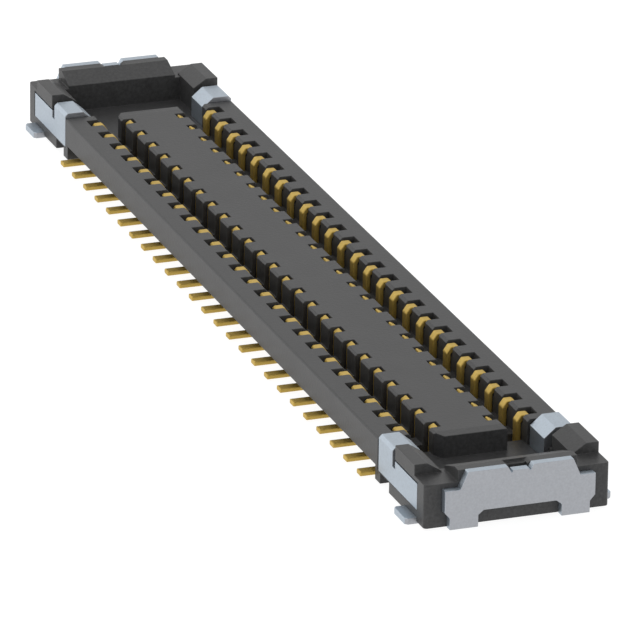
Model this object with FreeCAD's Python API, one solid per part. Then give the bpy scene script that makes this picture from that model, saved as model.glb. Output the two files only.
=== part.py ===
import FreeCAD, Part
import math
import os

# Fine-pitch board to board connector, receptacle half, in millimetres.
# X runs along the contact rows, Y across them and Z up from the circuit board.
# The origin is the middle of the soldering plane, so Z = 0 is the board's surface.
# A value called half_something is measured from a middle plane of the part, and
# a value called something_top, _bottom or _height is measured from the board.

# Contact rows
pitch = 0.35
contacts_in_row = 25

# Moulded housing
body_width = 1.74
body_corner_radius = 0.035
body_bottom = 0.02
wall_top = 0.43
wall_bottom = 0.157
wall_edge_bevel = 0.012
wall_lead_in = 0.025
wall_beyond_row = 0.12
floor_top = 0.19
cavity_width = 1.11
base_width = 1.44

# Feet of the long walls, and the recess between them and the end blocks
foot_beyond_row = 0.06
foot_length = 0.13
recess_length = 0.22
recess_top = 0.12

# Bays between the ends of the island and the end walls
bay_step = 0.06
end_wall = 0.335

# Island in the middle of the cavity
island_width = 0.67
island_into_bay = 0.08
island_top = 0.41
island_end_slope = 0.11
island_end_drop = 0.008
island_end_taper = 0.065
island_edge_bevel = 0.02

# Guide posts at the four corners, and the slit beside each
slit_width = 0.07
slit_bottom = 0.30
post_length = 0.48
post_to_end = 0.256
post_top = 0.53
post_flat = 0.12
post_lead_in_bottom = 0.443

# Ridges over the two end walls
ridge_top = 0.54
ridge_flat = 0.101
ridge_edge_height = 0.458
ridge_half_width = 0.56
notch_half_top = 0.12
ridge_notch_half_floor = 0.075
ridge_notch_bottom = 0.515
ridge_pocket_length = 0.05
ridge_pocket_bottom = 0.44

# Contacts
contact_width = 0.10
contact_thickness = 0.045
tail_bottom = 0.015
tail_reach = 0.105
tail_bend = 0.04
arch_top = 0.414
arch_corner = 0.02
arch_flat = 0.058
arch_slant_drop = 0.045
spring_bottom = 0.035
spring_bend = 0.06
spring_set_back = 0.035
spring_tip_reach = 0.04
spring_tip_height = 0.389
spring_tip_rise = 0.023

# Slots of the housing that hold the contacts, and the core that each one clips over
slot_side_clearance = 0.03
island_slot_side_clearance = 0.0125
slot_into_island = 0.115
slot_clearance = 0.05
core_thickness = 0.045
core_top = 0.33

# End plate of the sheet metal fitting
sheet = 0.08
plate_top = 0.545
plate_half_top = 0.495
plate_half_waist = 0.565
plate_shoulder_top = 0.385
plate_shoulder_margin = 0.162
plate_shoulder_bottom = 0.18
plate_taper_bottom = 0.125
plate_foot_bottom = 0.015
plate_foot_half_outer = 0.66
plate_foot_half_inner = 0.392
cut_out_top = 0.167
cut_out_corner_run = 0.05
cut_out_corner_drop = 0.04
plate_notch_half_bottom = 0.09
plate_notch_bottom = 0.49
tongue_half = 0.08
tongue_top = 0.51

# Side plate of the fitting, and the saddle that it folds over the wall
side_plate_bottom = 0.13
side_plate_top = 0.375
side_plate_to_end = 0.191
side_plate_clearance = 0.015
saddle_gap = 0.02
saddle_width = 0.34
saddle_top = 0.477
saddle_corner = 0.03
saddle_flat = 0.175
saddle_into_bay = 0.046
saddle_slant_bottom = 0.365

# Solder tab of the fitting, and the hidden web that carries it
tab_length = 0.30
tab_to_end = 0.186
tab_reach = 0.105
tab_thickness = 0.06
tab_corner = 0.025
web_relief = 0.02
web_beyond_tab = 0.07

# Places across the part, worked out from the middle outwards
half_island = island_width / 2
half_cavity = cavity_width / 2
half_bay = half_cavity + bay_step
half_base = base_width / 2
half_width = body_width / 2
core_outer = half_cavity + core_thickness
slot_outer = core_outer + contact_thickness + slot_clearance
slot_inner = half_island - slot_into_island
plate_half_shoulder = half_width - plate_shoulder_margin
web_middle = plate_half_shoulder - sheet / 2
side_plate_middle = half_width - sheet / 2
saddle_half_face = half_bay - saddle_into_bay
tab_tip = half_width + tab_reach
tail_tip = half_width + tail_reach

# Places along the part, worked out from the ends of the rows outwards
slot_width = contact_width + 2 * slot_side_clearance
island_slot_width = contact_width + 2 * island_slot_side_clearance
row_end = (contacts_in_row - 1) / 2 * pitch + slot_width / 2
foot_inner = row_end + foot_beyond_row
foot_outer = foot_inner + foot_length
end_block_inner = foot_outer + recess_length
bay_start = row_end + wall_beyond_row
island_end = bay_start + island_into_bay
saddle_inner = bay_start + saddle_gap
saddle_outer = saddle_inner + saddle_width
post_inner = saddle_outer + slit_width
post_outer = post_inner + post_length
half_length = post_outer + post_to_end
cavity_end = half_length - end_wall
side_plate_outer = half_length - side_plate_to_end
flange_middle = side_plate_outer - sheet / 2
tab_outer = half_length - tab_to_end
tab_inner = tab_outer - tab_length
web_outer = tab_outer + web_beyond_tab
plate_face = half_length + sheet

# Farther out and higher up than any of the plastic
beyond = body_width


def vector(x, y, z=0):
    return FreeCAD.Vector(x, y, z)


def box(x_range, y_range, z_range):
    spans = [high - low for low, high in (x_range, y_range, z_range)]
    return Part.makeBox(*spans, vector(x_range[0], y_range[0], z_range[0]))


def face_of(points):
    return Part.Face(Part.makePolygon(points + [points[0]]))


def along_x(outline, x_range):
    """A prism with an outline of (y, z) points."""
    low, high = x_range
    return face_of([vector(low, y, z) for y, z in outline]).extrude(vector(high - low, 0))


def along_y(outline, y_range):
    """A prism with an outline of (x, z) points."""
    low, high = y_range
    return face_of([vector(x, low, z) for x, z in outline]).extrude(vector(0, high - low))


def along_z(outline, z_range):
    """A prism with an outline of (x, y) points."""
    low, high = z_range
    return face_of([vector(x, y, low) for x, y in outline]).extrude(vector(0, 0, high - low))


def joined(shapes):
    return shapes[0].fuse(shapes[1:]).removeSplitter()


def both_sides(shape):
    """A shape, and its copy across the middle plane between the rows."""
    return [shape, shape.mirror(vector(0, 0), vector(0, 1))]


def both_ends(shapes):
    """Shapes, and their copies at the other end of the part."""
    return shapes + [shape.mirror(vector(0, 0), vector(1, 0)) for shape in shapes]


def four_corners(shape):
    return both_ends(both_sides(shape))


def offset_line(path, distance):
    """A bent line moved sideways: to its left, or to its right when distance is negative."""
    ways = []
    for (u, v), (next_u, next_v) in zip(path, path[1:]):
        length = math.hypot(next_u - u, next_v - v)
        ways.append(((next_u - u) / length, (next_v - v) / length))
    moved = []
    for index, (u, v) in enumerate(path):
        before = ways[max(index - 1, 0)]
        after = ways[min(index, len(ways) - 1)]
        share = distance / (1 + before[0] * after[0] + before[1] * after[1])
        moved.append((u - share * (before[1] + after[1]), v + share * (before[0] + after[0])))
    return moved


def strip_outline(path, thickness):
    """The outline of a bent sheet, whose middle line is the path."""
    left = offset_line(path, thickness / 2)
    right = offset_line(path, -thickness / 2)
    return left + right[::-1]


def edge_cut(edge, inwards, top, bevel, x_range):
    """What a bevel takes off a top edge of the +Y side, where inwards is 1 or -1 in Y."""
    return along_x([
        (edge + inwards * bevel, top),
        (edge, top - bevel),
        (edge, top),
    ], x_range)


def end_plate():
    """The plate over the end wall, with its notch, shoulders and two feet."""
    half = [
        (tongue_half, tongue_top),
        (tongue_half, plate_notch_bottom),
        (plate_notch_half_bottom, plate_notch_bottom),
        (notch_half_top, plate_top),
        (plate_half_top, plate_top),
        (plate_half_waist, plate_shoulder_top),
        (plate_half_shoulder, plate_shoulder_top),
        (plate_half_shoulder, plate_shoulder_bottom),
        (plate_foot_half_outer, plate_taper_bottom),
        (plate_foot_half_outer, plate_foot_bottom),
        (plate_foot_half_inner, plate_foot_bottom),
        (plate_foot_half_inner, cut_out_top - cut_out_corner_drop),
        (plate_foot_half_inner - cut_out_corner_run, cut_out_top),
    ]
    other_half = [(-y, z) for y, z in reversed(half)]
    return along_x(half + other_half, (half_length, plate_face))


def saddle_path():
    """Middle line of the saddle, from its outer foot over the wall to its inner foot."""
    inner_leg = saddle_half_face + sheet / 2
    crest = saddle_top - sheet / 2
    return [
        (side_plate_middle, side_plate_bottom),
        (side_plate_middle, crest),
        (half_width - saddle_flat, crest),
        (inner_leg, saddle_slant_bottom),
        (inner_leg, side_plate_bottom),
    ]


def saddle():
    sides = (saddle_inner, saddle_outer)
    strip = along_x(strip_outline(saddle_path(), sheet), sides)
    return strip.cut(edge_cut(half_width, -1, saddle_top, saddle_corner, sides))


def side_plate():
    """The plate in the housing's side, which bends in behind the corner to the end plate."""
    path = [
        (web_outer, web_middle),
        (flange_middle, web_middle),
        (flange_middle, side_plate_middle),
        (post_inner, side_plate_middle),
    ]
    upper = along_z(strip_outline(path, sheet), (side_plate_bottom, side_plate_top))
    behind_shoulder = box((web_outer, half_length),
                          (web_middle - sheet / 2, web_middle + sheet / 2),
                          (plate_shoulder_bottom, side_plate_top))
    below_slit = box((saddle_inner, post_inner), (half_width - sheet, half_width),
                     (side_plate_bottom, slit_bottom))
    return joined([upper, behind_shoulder, below_slit])


def solder_tab():
    """The tab on the board, with the hidden web up to the plate above it."""
    web_sides = (web_middle - sheet / 2, web_middle + sheet / 2)
    web_top = side_plate_bottom - web_relief
    web = box((tab_inner, web_outer), web_sides, (tab_thickness, web_top))
    link = box((side_plate_outer, web_outer), web_sides, (web_top, side_plate_bottom))
    tab_root = web_sides[0]
    tab = along_z([
        (tab_inner, tab_root),
        (tab_outer, tab_root),
        (tab_outer, tab_tip - tab_corner),
        (tab_outer - tab_corner, tab_tip),
        (tab_inner + tab_corner, tab_tip),
        (tab_inner, tab_tip - tab_corner),
    ], (0, tab_thickness))
    return joined([web, link, tab])


def end_fitting():
    """One stamped fitting: end plate, two side plates with saddles, and two solder tabs."""
    side = joined([side_plate(), saddle(), solder_tab()])
    return joined([end_plate()] + both_sides(side))


def contact():
    """One contact of the row at +Y: solder tail, arch over the core and curled spring."""
    half = contact_thickness / 2
    tail = tail_bottom + half
    outer_leg = core_outer + half
    inner_leg = half_cavity - half
    crest = arch_top - half
    spring_floor = spring_bottom + half
    spring_leg = half_island - spring_set_back - half
    path = [
        (tail_tip, tail),
        (outer_leg + tail_bend, tail),
        (outer_leg, tail + tail_bend),
        (outer_leg, crest),
        (outer_leg - arch_flat, crest),
        (inner_leg, crest - arch_slant_drop),
        (inner_leg, spring_floor + spring_bend),
        (inner_leg - spring_bend, spring_floor),
        (spring_leg + spring_bend, spring_floor),
        (spring_leg, spring_floor + spring_bend),
        (spring_leg, spring_tip_height - spring_tip_rise),
        (spring_leg - spring_tip_reach, spring_tip_height),
    ]
    sides = (-contact_width / 2, contact_width / 2)
    strip = along_x(strip_outline(path, contact_thickness), sides)
    return strip.cut(edge_cut(outer_leg + half, -1, arch_top, arch_corner, sides))


def contact_place(number):
    """The X of a contact, counted from 1 at the -X end of its row."""
    return (number - (contacts_in_row + 1) / 2) * pitch


def body_block():
    """The outer block with rounded upright edges, relieved under its long walls."""
    block = box((-half_length, half_length), (-half_width, half_width), (body_bottom, wall_top))
    upright = [edge for edge in block.Edges if edge.BoundBox.ZLength > wall_top / 2]
    block = block.makeFillet(body_corner_radius, upright)
    under_wall = box((-foot_inner, foot_inner), (half_base, beyond), (0, wall_bottom))
    beside_foot = box((foot_outer, end_block_inner), (half_base, beyond), (0, recess_top))
    along_wall = (-bay_start, bay_start)
    outer_bevel = edge_cut(half_width, -1, wall_top, wall_edge_bevel, along_wall)
    lead_in = edge_cut(half_cavity, 1, wall_top, wall_lead_in, along_wall)
    return block.cut(both_sides(under_wall) + four_corners(beside_foot)
                     + both_sides(outer_bevel) + both_sides(lead_in))


def cavity():
    """The space that the mating half enters: a trough with a wider bay at each end."""
    trough = box((-cavity_end, cavity_end), (-half_cavity, half_cavity), (floor_top, beyond))
    bay = box((bay_start, cavity_end), (-half_bay, half_bay), (floor_top, beyond))
    return joined([trough] + both_ends([bay]))


def island():
    """The tongue between the rows: bevelled edges, sloped ends, tapered on the front side."""
    shoulder = island_end - island_end_slope
    edge_height = island_top - island_end_drop
    side_view = [
        (-shoulder, island_top),
        (shoulder, island_top),
        (island_end, edge_height),
        (island_end, body_bottom),
        (-island_end, body_bottom),
        (-island_end, edge_height),
    ]
    end_half = half_island - island_end_taper
    plan = [
        (-island_end, half_island),
        (island_end, half_island),
        (island_end, -end_half),
        (shoulder, -half_island),
        (-shoulder, -half_island),
        (-island_end, -end_half),
    ]
    tongue = along_y(side_view, (-half_island, half_island))
    tongue = tongue.common(along_z(plan, (0, beyond)))
    bevel = edge_cut(half_island, -1, island_top, island_edge_bevel, (-island_end, island_end))
    return tongue.cut(both_sides(bevel))


def guide_post():
    outline = [
        (half_width, slit_bottom),
        (half_width, post_top),
        (half_width - post_flat, post_top),
        (half_bay, post_lead_in_bottom),
        (half_bay, slit_bottom),
    ]
    return along_x(outline, (post_inner, post_outer))


def slit():
    """The gap in the wall between the saddle and the guide post."""
    return box((saddle_outer, post_inner), (half_bay, beyond), (slit_bottom, beyond))


def ridge():
    """The raised end wall, sloped towards the cavity and notched in the middle."""
    side_view = [
        (cavity_end, floor_top),
        (cavity_end, ridge_edge_height),
        (half_length - ridge_flat, ridge_top),
        (half_length, ridge_top),
        (half_length, floor_top),
    ]
    wedge = along_y(side_view, (-ridge_half_width, ridge_half_width))
    notch = along_x([
        (-ridge_notch_half_floor, ridge_notch_bottom),
        (ridge_notch_half_floor, ridge_notch_bottom),
        (notch_half_top, ridge_top),
        (-notch_half_top, ridge_top),
    ], (half_length - ridge_flat, half_length))
    pocket = box((half_length - ridge_pocket_length, half_length),
                 (-plate_notch_half_bottom, plate_notch_half_bottom),
                 (ridge_pocket_bottom, ridge_top))
    return wedge.cut([notch, pocket])


def saddle_seat():
    """The pocket of the wall that the saddle drops into, around the core that it grips."""
    pocket = box((bay_start, saddle_outer), (saddle_half_face, beyond),
                 (side_plate_bottom, beyond))
    core = along_x(offset_line(saddle_path(), sheet / 2), (bay_start, saddle_outer))
    return pocket.cut(core)


def side_plate_seat():
    """The shallow pocket of the housing's side that shows round the side plate."""
    return box((saddle_outer, side_plate_outer + side_plate_clearance),
               (half_width - sheet, beyond),
               (side_plate_bottom, side_plate_top + side_plate_clearance))


def contact_slots():
    """The slots of one row, each round its contact's core, and narrower in the island."""
    outline = [
        (half_island, 0),
        (half_cavity, 0),
        (half_cavity, core_top),
        (core_outer, core_top),
        (core_outer, 0),
        (beyond, 0),
        (beyond, wall_bottom),
        (slot_outer, wall_bottom),
        (slot_outer, beyond),
        (half_island, beyond),
    ]
    in_wall = along_x(outline, (-slot_width / 2, slot_width / 2))
    in_island = box((-island_slot_width / 2, island_slot_width / 2),
                    (slot_inner, half_island), (0, beyond))
    slots = []
    for number in range(1, contacts_in_row + 1):
        for shape in (in_wall, in_island):
            slot = shape.copy()
            slot.translate(vector(contact_place(number), 0))
            slots.append(slot)
    return slots


def housing(fittings):
    shape = body_block().cut(cavity())
    shape = shape.fuse([island()] + four_corners(guide_post()) + both_ends([ridge()]))
    row = contact_slots()
    slots = row + [slot.mirror(vector(0, 0), vector(0, 1)) for slot in row]
    seats = four_corners(slit()) + four_corners(saddle_seat()) + four_corners(side_plate_seat())
    return shape.cut(slots + seats + fittings).removeSplitter()


def export(shape, node):
    shape.exportStep(f"parts/{node}.step")


def main():
    os.makedirs("parts", exist_ok=True)
    right_end = end_fitting()
    left_end = both_ends([right_end])[1]
    export(right_end, "end_fitting_right")
    export(left_end, "end_fitting_left")
    export(housing([right_end, left_end]), "housing")
    rows = dict(zip(("back", "front"), both_sides(contact())))
    for row, pattern in rows.items():
        for number in range(1, contacts_in_row + 1):
            piece = pattern.copy()
            piece.translate(vector(contact_place(number), 0))
            export(piece, f"contact_{row}_{number:02d}")


main()
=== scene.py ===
import bpy
import math
from bpy.props import FloatProperty, FloatVectorProperty, PointerProperty
from mathutils import Matrix, Vector

bl_info = {
    "name": "Board to board connector",
    "version": (1, 0, 0),
    "blender": (4, 5, 0),
    "location": "3D View > Sidebar > Connector",
    "description": "Finishes and studio for a fine-pitch board to board connector",
    "category": "Object",
}

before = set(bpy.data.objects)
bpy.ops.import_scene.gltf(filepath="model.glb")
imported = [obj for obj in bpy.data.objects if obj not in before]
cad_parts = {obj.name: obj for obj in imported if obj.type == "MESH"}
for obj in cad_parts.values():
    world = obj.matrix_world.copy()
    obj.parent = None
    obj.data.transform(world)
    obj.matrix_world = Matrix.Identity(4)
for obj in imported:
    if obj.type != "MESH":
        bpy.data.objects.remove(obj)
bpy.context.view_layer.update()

MILLIMETRE = 0.001
WHITE = (1.0, 1.0, 1.0, 1.0)

# Sockets of the Mix node: its two colours and the mixed one
MIX_LOW = 6
MIX_HIGH = 7
MIX_RESULT = 2

# Rounded edges: what counts as one point, as one flat face and as a sharp edge
WELD_REACH = 0.0001 * MILLIMETRE
FLAT_WITHIN = math.radians(0.5)
SHARP_OVER = math.radians(25)
EDGE_SEGMENTS = 2

# A face looks along an axis when more than this share of its normal does
FACES_AXIS = 0.7

# Stretch of a noise along X, Y and Z: the smaller, the longer its streaks
FLOW_STREAKS = (0.25, 1.0, 1.0)
ROLLED_STREAKS = (1.0, 0.08, 0.08)
SHEARED_STREAKS = (0.15, 1.0, 1.0)
DRAWN_STREAKS = (0.1, 0.1, 1.0)

# How strongly a noise is spread out from its middle
GRAIN_CONTRAST = 2.4
GOLD_CONTRAST = 2.2

# Darkest and lightest tone of a colour, as shares of it
PLASTIC_TONES = (0.55, 1.45)
SHEET_TONES = (0.85, 1.12)
FLOOR_TONES = (0.98, 1.02)

PLASTIC_IOR = 1.33
GOLD_METALLIC = 0.88
SHEET_METALLIC = 1.0

FLOOR_HALF = 0.6
FLOOR_CLOUD = 20 * MILLIMETRE
FLOOR_ROUGHNESS = 0.6

SENSOR_WIDTH = 36.0
CLIP_RANGE = 100

# Each soft light: its name, its way from the part, its distance and its width in metres
SOFT_LIGHTS = {
    "top_light": ("Top light", (-0.3, -0.1, 1.0), 0.09, 0.08),
    "side_light": ("Side light", (0.1, -1.0, 0.55), 0.09, 0.07),
    "fill_light": ("Fill light", (-0.1, 1.0, 0.6), 0.10, 0.06),
    "back_light": ("Back light", (-1.0, -0.55, 0.22), 0.10, 0.07),
}


class Signal:
    """A socket of a material's node tree that can be used in sums."""

    def __init__(self, tree, socket):
        self.tree = tree
        self.socket = socket

    def maths(self, operation, *values):
        node = self.tree.nodes.new("ShaderNodeMath")
        node.operation = operation
        for socket, value in zip(node.inputs, values):
            plug(self.tree, socket, value)
        return Signal(self.tree, node.outputs[0])

    def __add__(self, other):
        return self.maths("ADD", self, other)

    def __radd__(self, other):
        return self.maths("ADD", other, self)

    def __sub__(self, other):
        return self.maths("SUBTRACT", self, other)

    def __rsub__(self, other):
        return self.maths("SUBTRACT", other, self)

    def __mul__(self, other):
        return self.maths("MULTIPLY", self, other)

    def __rmul__(self, other):
        return self.maths("MULTIPLY", other, self)

    def __abs__(self):
        return self.maths("ABSOLUTE", self)

    def over(self, edge):
        """1 where the signal is over an edge, and 0 elsewhere."""
        return self.maths("GREATER_THAN", self, edge)


def plug(tree, socket, value):
    """Links a signal to a socket, or writes a plain value on it."""
    if isinstance(value, Signal):
        tree.links.new(value.socket, socket)
    else:
        socket.default_value = value


def opaque(colour, tone=1.0):
    """A colour with full alpha, made darker or lighter by its tone."""
    return (*(channel * tone for channel in colour), 1.0)


def crisp(noise, contrast):
    """Noise spread out from its middle, where plain noise mostly stays."""
    return noise * contrast - (contrast - 1) / 2


def shared(share, first, second):
    """A share of the first signal, and the rest of the second."""
    return first * share + second * (1 - share)


def swung(noise, swing):
    """Noise as a change up or down, from one end to the other of its swing."""
    return noise * swing - swing / 2


class Finish:
    """A material in the making, with one Principled shader."""

    def __init__(self, name):
        self.material = bpy.data.materials.new(name)
        self.material.use_nodes = True
        self.tree = self.material.node_tree
        self.tree.nodes.clear()
        output = self.tree.nodes.new("ShaderNodeOutputMaterial")
        self.shader = self.tree.nodes.new("ShaderNodeBsdfPrincipled")
        self.tree.links.new(self.shader.outputs["BSDF"], output.inputs["Surface"])

    def node(self, kind, settings, inputs, output=0):
        made = self.tree.nodes.new(kind)
        for name, value in settings.items():
            setattr(made, name, value)
        for name, value in inputs.items():
            plug(self.tree, made.inputs[name], value)
        return Signal(self.tree, made.outputs[output])

    def set(self, inputs):
        for name, value in inputs.items():
            plug(self.tree, self.shader.inputs[name], value)

    def place(self, stretch):
        """The place on the piece in millimetres, times a stretch along each axis."""
        spot = self.node("ShaderNodeTexCoord", {}, {}, "Object")
        scale = tuple(value / MILLIMETRE for value in stretch)
        return self.node("ShaderNodeVectorMath", {"operation": "MULTIPLY"}, {0: spot, 1: scale})

    def noise(self, size, stretch=(1.0, 1.0, 1.0), detail=2.0, roughness=0.5):
        """Noise between 0 and 1, whose patches are about size metres across."""
        return self.node("ShaderNodeTexNoise", {}, {
            "Vector": self.place(stretch),
            "Scale": MILLIMETRE / size,
            "Detail": detail,
            "Roughness": roughness,
        }, "Fac")

    def blend(self, factor, low, high):
        """A colour between two colours, each a plain one or a signal."""
        return self.node("ShaderNodeMix", {"data_type": "RGBA"}, {
            "Factor": factor,
            MIX_LOW: low,
            MIX_HIGH: high,
        }, MIX_RESULT)

    def mottled(self, factor, colour, tones):
        """A colour that goes from its darkest to its lightest tone."""
        darkest, lightest = tones
        return self.blend(factor, opaque(colour, darkest), opaque(colour, lightest))

    def facing(self, axis):
        """1 where the surface looks along an axis of the part, either way, and 0 elsewhere."""
        normal = self.node("ShaderNodeTexCoord", {}, {}, "Normal")
        along = self.node("ShaderNodeSeparateXYZ", {}, {"Vector": normal}, axis)
        return abs(along).over(FACES_AXIS)

    def bump(self, height, depth):
        """A bumpy normal whose hills are depth metres high."""
        return self.node("ShaderNodeBump", {}, {
            "Strength": 1.0,
            "Distance": depth,
            "Height": height,
        })


def round_edges(piece, radius):
    """Rounds the sharp edges of a CAD solid a little, as moulding and stamping leave them."""
    mesh = piece.data
    stored = mesh.attributes.get("custom_normal")
    if stored:
        mesh.attributes.remove(stored)
    for face in mesh.polygons:
        face.use_smooth = False
    weld = piece.modifiers.new("Weld", "WELD")
    weld.merge_threshold = WELD_REACH
    flat = piece.modifiers.new("Whole faces", "DECIMATE")
    flat.decimate_type = "DISSOLVE"
    flat.angle_limit = FLAT_WITHIN
    piece.modifiers.new("Even triangles", "TRIANGULATE").ngon_method = "BEAUTY"
    bevel = piece.modifiers.new("Edges", "BEVEL")
    bevel.width = radius
    bevel.segments = EDGE_SEGMENTS
    bevel.limit_method = "ANGLE"
    bevel.angle_limit = SHARP_OVER
    bevel.use_clamp_overlap = False
    bevel.loop_slide = False


def dress(piece, material):
    piece.data.materials.clear()
    piece.data.materials.append(material)


def moulded_plastic(look):
    """Dark grey moulded plastic: spark-eroded grain, faint flow lines and cloudy shine."""
    grain_in_colour = 0.6
    cloud_in_the_rest = 0.75
    grain_in_relief = 0.8
    cloud_in_roughness = 0.10
    grain_in_roughness = 0.26
    flow_size = look.cloud_size / 3

    finish = Finish("Moulded plastic")
    cloud = finish.noise(look.cloud_size, detail=3.0)
    flow = finish.noise(flow_size, stretch=FLOW_STREAKS)
    grain = finish.noise(look.grain_size, detail=4.0, roughness=0.6)
    mottle = shared(grain_in_colour, crisp(grain, GRAIN_CONTRAST),
                    shared(cloud_in_the_rest, cloud, flow))
    finish.set({
        "Base Color": finish.mottled(mottle, look.colour, PLASTIC_TONES),
        "Roughness": (look.roughness + swung(cloud, cloud_in_roughness)
                      + swung(grain, grain_in_roughness)),
        "Normal": finish.bump(shared(grain_in_relief, grain, flow), look.grain_depth),
        "IOR": PLASTIC_IOR,
    })
    return finish.material


def gold_plate(look):
    """Gold over a stamped strip: rolling marks along it, rougher where it was sheared."""
    cloud_in_colour = 0.55
    cloud_in_roughness = 0.12
    cut_in_roughness = 0.08
    marks_in_roughness = 0.05

    finish = Finish("Gold plate")
    cut = finish.facing("X")
    rolled = finish.noise(look.mark_size, stretch=ROLLED_STREAKS, detail=3.0)
    sheared = finish.noise(look.mark_size, stretch=SHEARED_STREAKS, detail=3.0)
    cloud = finish.noise(look.cloud_size, detail=3.0)
    marks = rolled + (sheared - rolled) * cut
    mottle = crisp(shared(cloud_in_colour, cloud, marks), GOLD_CONTRAST)
    finish.set({
        "Base Color": finish.blend(mottle, opaque(look.deep_colour), opaque(look.colour)),
        "Roughness": (look.roughness + swung(cloud, cloud_in_roughness)
                      + cut * cut_in_roughness + marks * marks_in_roughness),
        "Normal": finish.bump(marks, look.mark_depth),
        "Metallic": GOLD_METALLIC,
    })
    return finish.material


def plated_sheet(look):
    """Pale matt plating over sheet metal, with fine grain and faint rubbed patches; faces along
    X are painted darker as painted shade, the rest lighter and bluer as painted light.
    """
    cloud_in_colour = 0.4
    grain_in_relief = 0.7
    cloud_in_roughness = 0.10
    grain_in_roughness = 0.06

    finish = Finish("Plated sheet")
    grain = finish.noise(look.grain_size, detail=4.0, roughness=0.65)
    cloud = finish.noise(look.cloud_size, detail=3.0)
    drawn = finish.noise(look.grain_size, stretch=DRAWN_STREAKS)
    mottle = shared(cloud_in_colour, cloud, crisp(grain, GRAIN_CONTRAST))
    # Painted shade and painted light: the darker plating goes on faces that look along X, the
    # lighter, bluer one on all other faces
    flat = finish.mottled(mottle, look.colour, SHEET_TONES)
    bent = finish.mottled(mottle, look.bent_painted_light_colour, SHEET_TONES)
    finish.set({
        "Base Color": finish.blend(finish.facing("X"), bent, flat),
        "Roughness": (look.roughness + swung(cloud, cloud_in_roughness)
                      + swung(grain, grain_in_roughness)),
        "Normal": finish.bump(shared(grain_in_relief, grain, drawn), look.grain_depth),
        "Metallic": SHEET_METALLIC,
    })
    return finish.material


class HousingLook(bpy.types.PropertyGroup):
    colour: FloatVectorProperty(
        name="Plastic colour", description="Colour of the moulded plastic",
        subtype="COLOR", size=3, min=0.0, max=1.0, default=(0.043, 0.043, 0.0435))
    roughness: FloatProperty(
        name="Roughness", description="How matt the plastic is", subtype="FACTOR",
        min=0.0, max=1.0, default=0.42)
    grain_size: FloatProperty(
        name="Grain size", description="Width of one grain of the mould's texture",
        subtype="DISTANCE", unit="LENGTH", min=0.000001, default=0.000032, precision=6)
    grain_depth: FloatProperty(
        name="Grain depth", description="Height of the mould's texture",
        subtype="DISTANCE", unit="LENGTH", min=0.0, default=0.0000022, precision=7)
    cloud_size: FloatProperty(
        name="Cloud size", description="Width of the faint lighter and darker patches",
        subtype="DISTANCE", unit="LENGTH", min=0.00001, default=0.00035, precision=6)
    edge_radius: FloatProperty(
        name="Edge radius", description="Rounding of the plastic's edges",
        subtype="DISTANCE", unit="LENGTH", min=0.0, default=0.0000048, precision=7)


class ContactLook(bpy.types.PropertyGroup):
    colour: FloatVectorProperty(
        name="Gold", description="Colour of the gold where it is cleanest",
        subtype="COLOR", size=3, min=0.0, max=1.0, default=(0.62, 0.445, 0.12))
    deep_colour: FloatVectorProperty(
        name="Deep gold", description="Colour of the gold where it is thicker",
        subtype="COLOR", size=3, min=0.0, max=1.0, default=(0.48, 0.335, 0.08))
    roughness: FloatProperty(
        name="Roughness", description="How matt the gold is", subtype="FACTOR",
        min=0.0, max=1.0, default=0.52)
    mark_size: FloatProperty(
        name="Mark size", description="Width of the rolling and shearing marks",
        subtype="DISTANCE", unit="LENGTH", min=0.000001, default=0.000008, precision=6)
    mark_depth: FloatProperty(
        name="Mark depth", description="Depth of the rolling and shearing marks",
        subtype="DISTANCE", unit="LENGTH", min=0.0, default=0.0000006, precision=7)
    cloud_size: FloatProperty(
        name="Cloud size", description="Width of the patches where the gold changes",
        subtype="DISTANCE", unit="LENGTH", min=0.00001, default=0.00012, precision=6)
    edge_radius: FloatProperty(
        name="Edge radius", description="Rounding of the strip's edges",
        subtype="DISTANCE", unit="LENGTH", min=0.0, default=0.00001, precision=7)


class FittingLook(bpy.types.PropertyGroup):
    # Plating on faces that look along X, darkened as painted shade
    colour: FloatVectorProperty(
        name="Plating colour", description="Colour of the plated sheet on the end plate",
        subtype="COLOR", size=3, min=0.0, max=1.0, default=(0.368, 0.380, 0.405))
    # Plating on all other faces, made lighter and bluer as painted light
    bent_painted_light_colour: FloatVectorProperty(
        name="Bent sheet colour", description="Colour where the sheet is bent round the housing",
        subtype="COLOR", size=3, min=0.0, max=1.0, default=(0.422, 0.475, 0.530))
    roughness: FloatProperty(
        name="Roughness", description="How matt the plating is", subtype="FACTOR",
        min=0.0, max=1.0, default=0.47)
    grain_size: FloatProperty(
        name="Grain size", description="Width of one grain of the plating",
        subtype="DISTANCE", unit="LENGTH", min=0.000001, default=0.00002, precision=6)
    grain_depth: FloatProperty(
        name="Grain depth", description="Height of the plating's grain",
        subtype="DISTANCE", unit="LENGTH", min=0.0, default=0.0000008, precision=7)
    cloud_size: FloatProperty(
        name="Cloud size", description="Width of the rubbed patches",
        subtype="DISTANCE", unit="LENGTH", min=0.00001, default=0.00028, precision=6)
    edge_radius: FloatProperty(
        name="Edge radius", description="Rounding of the sheet's edges",
        subtype="DISTANCE", unit="LENGTH", min=0.0, default=0.0000048, precision=7)


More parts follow.
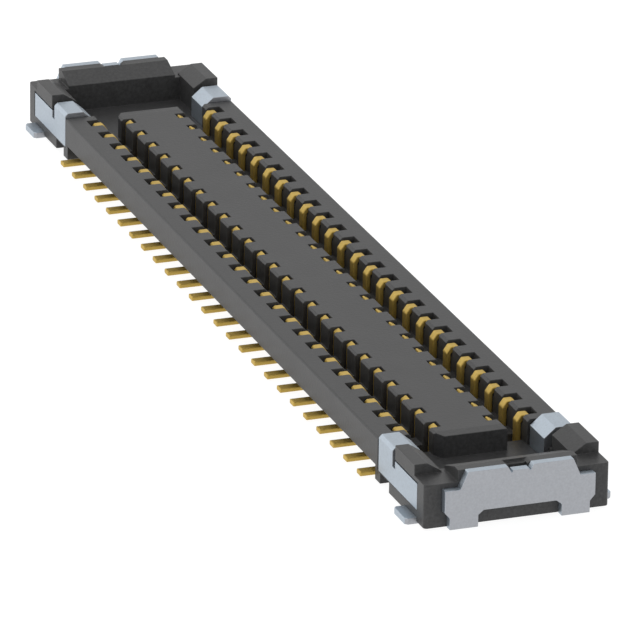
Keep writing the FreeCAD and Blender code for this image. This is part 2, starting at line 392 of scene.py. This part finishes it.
class StudioLook(bpy.types.PropertyGroup):
    azimuth: FloatProperty(
        name="Azimuth", description="Where the camera stands round the part",
        subtype="ANGLE", unit="ROTATION", default=math.radians(69.6095))
    elevation: FloatProperty(
        name="Elevation", description="How high the camera stands",
        subtype="ANGLE", unit="ROTATION", default=math.radians(21.2354))
    roll: FloatProperty(
        name="Roll", description="Turn of the camera about its own axis",
        subtype="ANGLE", unit="ROTATION", default=math.radians(0.8224))
    distance: FloatProperty(
        name="Distance", description="From the camera to the middle of the part",
        subtype="DISTANCE", unit="LENGTH", min=0.001, default=0.0710177, precision=6)
    lens: FloatProperty(
        name="Lens", description="Focal length on a 36 mm sensor", unit="CAMERA",
        min=1.0, default=424.16)
    aim: FloatVectorProperty(
        name="Aim", description="Point that the camera's frame hangs from",
        subtype="TRANSLATION", unit="LENGTH", size=3, default=(0.0, 0.0000085, 0.00002),
        precision=7)
    slide: FloatVectorProperty(
        name="Slide", description="How far the camera is moved right and up",
        subtype="TRANSLATION", unit="LENGTH", size=2, default=(0.0001817, -0.0001834),
        precision=7)
    sky: FloatProperty(
        name="Sky", description="Brightness of the light from all round", min=0.0, default=0.95)
    top_light: FloatProperty(
        name="Top light", description="Brightness of the soft light above", min=0.0, default=0.2)
    side_light: FloatProperty(
        name="Side light", description="Brightness of the soft light at the left", min=0.0,
        default=0.2)
    fill_light: FloatProperty(
        name="Fill light", description="Brightness of the soft light at the right", min=0.0,
        default=0.05)
    back_light: FloatProperty(
        name="Back light", description="Brightness of the soft light at the back", min=0.0,
        default=0.6)
    floor_colour: FloatVectorProperty(
        name="Floor colour", description="Colour of the floor",
        subtype="COLOR", size=3, min=0.0, max=1.0, default=(0.12, 0.12, 0.12))
    floor_glow: FloatProperty(
        name="Floor glow", description="Light of the floor's own, as on a light table", min=0.0,
        default=0.925)


def pieces_named(start):
    """The CAD pieces whose names start with a word, which have to be there."""
    found = [piece for name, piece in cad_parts.items() if name.startswith(start)]
    if not found:
        raise RuntimeError(f"The packed model has no piece whose name starts with {start}")
    return found


class CONNECTOR_OT_housing(bpy.types.Operator):
    """Give the moulded housing its plastic and its rounded edges"""
    bl_idname = "connector.housing"
    bl_label = "Dress the housing"

    def execute(self, context):
        look = context.scene.connector_housing
        material = moulded_plastic(look)
        for piece in pieces_named("housing"):
            dress(piece, material)
            round_edges(piece, look.edge_radius)
        return {"FINISHED"}


class CONNECTOR_OT_contacts(bpy.types.Operator):
    """Give both rows of contacts their gold plating and their rounded edges"""
    bl_idname = "connector.contacts"
    bl_label = "Dress the contacts"

    def execute(self, context):
        look = context.scene.connector_contacts
        material = gold_plate(look)
        for piece in pieces_named("contact_"):
            dress(piece, material)
            round_edges(piece, look.edge_radius)
        return {"FINISHED"}


class CONNECTOR_OT_fittings(bpy.types.Operator):
    """Give the two end fittings their plating and their rounded edges"""
    bl_idname = "connector.fittings"
    bl_label = "Dress the end fittings"

    def execute(self, context):
        look = context.scene.connector_fittings
        material = plated_sheet(look)
        for piece in pieces_named("end_fitting_"):
            dress(piece, material)
            round_edges(piece, look.edge_radius)
        return {"FINISHED"}


def soft_box(name, way, distance, size, brightness):
    """A square soft light that looks at the part, with the same brightness at any size."""
    light = bpy.data.lights.new(name, "AREA")
    light.shape = "SQUARE"
    light.size = size
    light.energy = brightness * math.pi * size ** 2
    lamp = bpy.data.objects.new(name, light)
    bpy.context.scene.collection.objects.link(lamp)
    towards = Vector(way).normalized()
    lamp.location = towards * distance
    lamp.rotation_euler = towards.to_track_quat("Z", "Y").to_euler()


def place_camera(look):
    """The camera at the photo's view: turned round the aim, then slid and rolled."""
    azimuth, elevation, roll = look.azimuth, look.elevation, look.roll
    back = Vector((
        math.sin(azimuth) * math.cos(elevation),
        -math.cos(azimuth) * math.cos(elevation),
        math.sin(elevation),
    ))
    right = (-back).cross(Vector((0.0, 0.0, 1.0))).normalized()
    up = right.cross(-back)
    across, along = look.slide
    spot = Vector(look.aim) + back * look.distance + right * across + up * along
    right, up = (right * math.cos(roll) + up * math.sin(roll),
                 up * math.cos(roll) - right * math.sin(roll))
    turn = Matrix((right, up, back)).transposed().to_4x4()
    data = bpy.data.cameras.new("Camera")
    data.lens = look.lens
    data.sensor_width = SENSOR_WIDTH
    data.clip_start = look.distance / CLIP_RANGE
    data.clip_end = look.distance * CLIP_RANGE
    camera = bpy.data.objects.new("Camera", data)
    bpy.context.scene.collection.objects.link(camera)
    camera.matrix_world = Matrix.Translation(spot) @ turn
    bpy.context.scene.camera = camera


def lay_floor(look):
    """The plain pale floor that the part stands on."""
    mesh = bpy.data.meshes.new("Floor")
    corners = [
        (-FLOOR_HALF, -FLOOR_HALF, 0.0),
        (FLOOR_HALF, -FLOOR_HALF, 0.0),
        (FLOOR_HALF, FLOOR_HALF, 0.0),
        (-FLOOR_HALF, FLOOR_HALF, 0.0),
    ]
    mesh.from_pydata(corners, [], [(0, 1, 2, 3)])
    floor = bpy.data.objects.new("Floor", mesh)
    bpy.context.scene.collection.objects.link(floor)
    finish = Finish("Floor")
    cloud = finish.noise(FLOOR_CLOUD)
    finish.set({
        "Base Color": finish.mottled(cloud, look.floor_colour, FLOOR_TONES),
        "Roughness": FLOOR_ROUGHNESS,
        "Emission Color": WHITE,
        "Emission Strength": look.floor_glow,
    })
    dress(floor, finish.material)


class CONNECTOR_OT_studio(bpy.types.Operator):
    """Set up the floor, the soft lights and the camera"""
    bl_idname = "connector.studio"
    bl_label = "Set up the studio"

    def execute(self, context):
        look = context.scene.connector_studio
        world = bpy.data.worlds.new("Studio")
        world.use_nodes = True
        background = world.node_tree.nodes["Background"]
        background.inputs["Color"].default_value = WHITE
        background.inputs["Strength"].default_value = look.sky
        context.scene.world = world
        for key, (name, way, distance, size) in SOFT_LIGHTS.items():
            soft_box(name, way, distance, size, getattr(look, key))
        lay_floor(look)
        place_camera(look)
        context.scene.view_settings.view_transform = "Standard"
        return {"FINISHED"}


OPERATORS = (
    CONNECTOR_OT_housing,
    CONNECTOR_OT_contacts,
    CONNECTOR_OT_fittings,
    CONNECTOR_OT_studio,
)

LOOKS = {
    "connector_housing": HousingLook,
    "connector_contacts": ContactLook,
    "connector_fittings": FittingLook,
    "connector_studio": StudioLook,
}


class CONNECTOR_PT_sidebar(bpy.types.Panel):
    """The connector's finishes and studio"""
    bl_idname = "CONNECTOR_PT_sidebar"
    bl_label = "Connector"
    bl_space_type = "VIEW_3D"
    bl_region_type = "UI"
    bl_category = "Connector"

    def draw(self, context):
        for operator, (name, look) in zip(OPERATORS, LOOKS.items()):
            box = self.layout.box()
            box.operator(operator.bl_idname)
            for key in look.__annotations__:
                box.prop(getattr(context.scene, name), key)


def register():
    for name, look in LOOKS.items():
        bpy.utils.register_class(look)
        setattr(bpy.types.Scene, name, PointerProperty(type=look))
    for operator in OPERATORS:
        bpy.utils.register_class(operator)
    bpy.utils.register_class(CONNECTOR_PT_sidebar)


def unregister():
    bpy.utils.unregister_class(CONNECTOR_PT_sidebar)
    for operator in reversed(OPERATORS):
        bpy.utils.unregister_class(operator)
    for name, look in LOOKS.items():
        delattr(bpy.types.Scene, name)
        bpy.utils.unregister_class(look)


def main():
    register()
    bpy.ops.connector.housing()
    bpy.ops.connector.contacts()
    bpy.ops.connector.fittings()
    bpy.ops.connector.studio()


if __name__ == "__main__":
    main()
